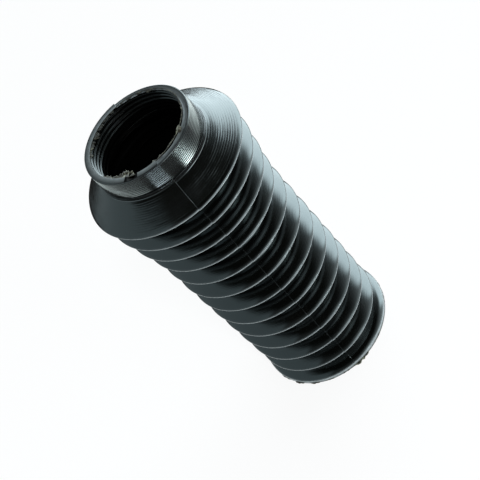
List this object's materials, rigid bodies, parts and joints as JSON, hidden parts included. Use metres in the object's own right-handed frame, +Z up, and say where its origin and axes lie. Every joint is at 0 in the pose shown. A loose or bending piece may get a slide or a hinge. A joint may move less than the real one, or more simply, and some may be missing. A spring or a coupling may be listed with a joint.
{
  "type": "rubber bellows boot",
  "caption": "Rubber bellows boot: a short ribbed collar over a broad shoulder, and a tapering row of deep round folds, open at both ends, to cover a sliding tube.",
  "frame": {"origin": "centre of the lower mouth's end face, on which the boot stands", "axes": "+Z up the boot's axis from the lower mouth to the ribbed collar; X and Y are across, and the mould's parting line meets -Y"},
  "size_m": [0.072, 0.072, 0.154],
  "materials": {
    "rubber": "satin black moulded rubber"
  },
  "bodies": {
    "root": {"bellows_boot": "rubber"}
  },
  "joints": []
}
